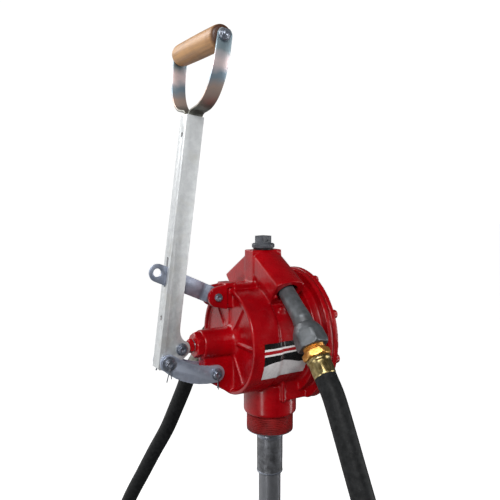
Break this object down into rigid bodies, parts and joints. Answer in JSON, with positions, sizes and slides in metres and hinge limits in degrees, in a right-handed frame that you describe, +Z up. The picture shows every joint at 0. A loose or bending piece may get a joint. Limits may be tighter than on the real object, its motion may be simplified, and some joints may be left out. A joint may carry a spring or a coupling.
{
  "type": "lever piston drum pump",
  "caption": "Lever-operated piston pump that screws into a drum bung, with telescoping suction tube, discharge hose, spout holder and padlock bar.",
  "frame": {"origin": "on the axis of the bung thread, in the plane of the shoulder that lands on the drum top", "axes": "+Z up along the bung axis; -X towards the lever along the piston rod; -Y towards the spout holder; +Y towards the discharge pipe"},
  "size_m": [0.2172, 0.7728, 1.3646],
  "materials": {
    "red_paint": "glossy enamel over cast iron",
    "zinc_handle": "satin zinc plate",
    "zinc_link": "bluish zinc plate",
    "bright_steel": "polished",
    "dark_steel": "dark oiled",
    "brass": "satin",
    "grey_paint": "satin grey",
    "charcoal": "satin charcoal",
    "seal": "matte",
    "hose_rubber": "matte black",
    "grip_wood": "clear varnish"
  },
  "bodies": {
    "pump": {"body_pin": "bright_steel", "body_pin_split": "dark_steel", "body_pin_washer": "bright_steel", "cover_bolt_1": "red_paint", "cover_bolt_2": "red_paint", "cover_bolt_3": "red_paint", "cover_bolt_4": "red_paint", "cover_bolt_5": "red_paint", "cover_bolt_6": "red_paint", "cover_bolt_7": "red_paint", "cover_bolt_8": "red_paint", "discharge_ferrule": "brass", "discharge_nipple": "dark_steel", "discharge_swivel": "brass", "hose": "hose_rubber", "lock_pin": "bright_steel", "packing_nut": "red_paint", "pipe_nipple": "dark_steel", "pump_body": "red_paint", "rear_cover": "red_paint", "rear_gasket": "seal", "rod_packing": "seal", "tube_collar": "brass", "tube_upper": "dark_steel", "vent_cap": "charcoal", "vent_seal": "seal", "vent_spring": "bright_steel"},
    "rod": {"rod_eye": "red_paint", "rod_nut": "red_paint", "piston_rod": "bright_steel", "piston": "brass", "piston_cup_front": "seal", "piston_cup_rear": "seal", "piston_nut": "bright_steel"},
    "handle": {"handle_channel": "zinc_handle", "strap_near": "bright_steel", "strap_far": "bright_steel", "grip_bolt": "bright_steel", "grip_nut": "bright_steel", "rod_pin": "bright_steel", "rod_pin_washer": "bright_steel", "rod_pin_split": "dark_steel", "handle_pin": "bright_steel", "handle_pin_washer": "bright_steel", "handle_pin_split": "dark_steel"},
    "grip_tube": {"grip": "grip_wood"},
    "links": {"link_near": "zinc_link", "link_far": "zinc_link"},
    "hasp": {"lock_bar": "zinc_link"},
    "spout": {"nozzle_spout": "grey_paint", "nozzle_adapter": "brass", "nozzle_ferrule": "brass"},
    "foot_tube": {"tube_lower": "dark_steel", "foot_strainer": "charcoal"},
    "valve_in_front": {"inlet_valve_front": "brass"},
    "valve_in_rear": {"inlet_valve_rear": "brass"},
    "valve_out_front": {"outlet_valve_front": "brass"},
    "valve_out_rear": {"outlet_valve_rear": "brass"},
    "vent_valve": {"vent_poppet": "brass"}
  },
  "joints": [
    {"name": "handle_swing", "type": "hinge", "parent": "rod", "child": "handle", "pos_m": [-0.1269, 0, 0.0973], "axis": [0, -1, 0], "range_deg": [0, 60]},
    {"name": "rod_slide", "type": "slide", "parent": "pump", "child": "rod", "axis": [-1, 0, 0], "range_m": [0, 0.0226]},
    {"name": "link_swing", "type": "hinge", "parent": "pump", "child": "links", "pos_m": [-0.083, 0, 0.0622], "axis": [0, -1, 0], "range_deg": [0, 9.2]},
    {"name": "hasp_swing", "type": "hinge", "parent": "pump", "child": "hasp", "pos_m": [-0.0797, 0, 0.1543], "axis": [0, -1, 0], "range_deg": [0, 40.5]},
    {"name": "grip_spin", "type": "hinge", "parent": "handle", "child": "grip_tube", "pos_m": [-0.09611, 0, 0.44576], "axis": [0, 1, 0], "continuous": true},
    {"name": "spout_draw", "type": "slide", "parent": "pump", "child": "spout", "axis": [0, -0.766, -0.6428], "range_m": [0, 0.05], "deforming": ["hose"]},
    {"name": "tube_extend", "type": "slide", "parent": "pump", "child": "foot_tube", "axis": [0, 0, -1], "range_m": [0, 0.26]},
    {"name": "inlet_front_lift", "type": "slide", "parent": "pump", "child": "valve_in_front", "axis": [0, 0, 1], "range_m": [0, 0.004]},
    {"name": "inlet_rear_lift", "type": "slide", "parent": "pump", "child": "valve_in_rear", "axis": [0, 0, 1], "range_m": [0, 0.004]},
    {"name": "outlet_front_lift", "type": "slide", "parent": "pump", "child": "valve_out_front", "axis": [0, 0, 1], "range_m": [0, 0.004]},
    {"name": "outlet_rear_lift", "type": "slide", "parent": "pump", "child": "valve_out_rear", "axis": [0, 0, 1], "range_m": [0, 0.004]},
    {"name": "vent_lift", "type": "slide", "parent": "pump", "child": "vent_valve", "axis": [0, 0, 1], "range_m": [0, 0.003], "stiffness_N_per_m": 300, "deforming": ["vent_spring"]}
  ],
  "couplings": [
    {"joint": "rod_slide", "follows": "handle_swing", "m_per_rad": 0.02141},
    {"joint": "link_swing", "follows": "handle_swing", "ratio": 0.15},
    {"joint": "hasp_swing", "follows": "handle_swing", "ratio": 0.67}
  ]
}
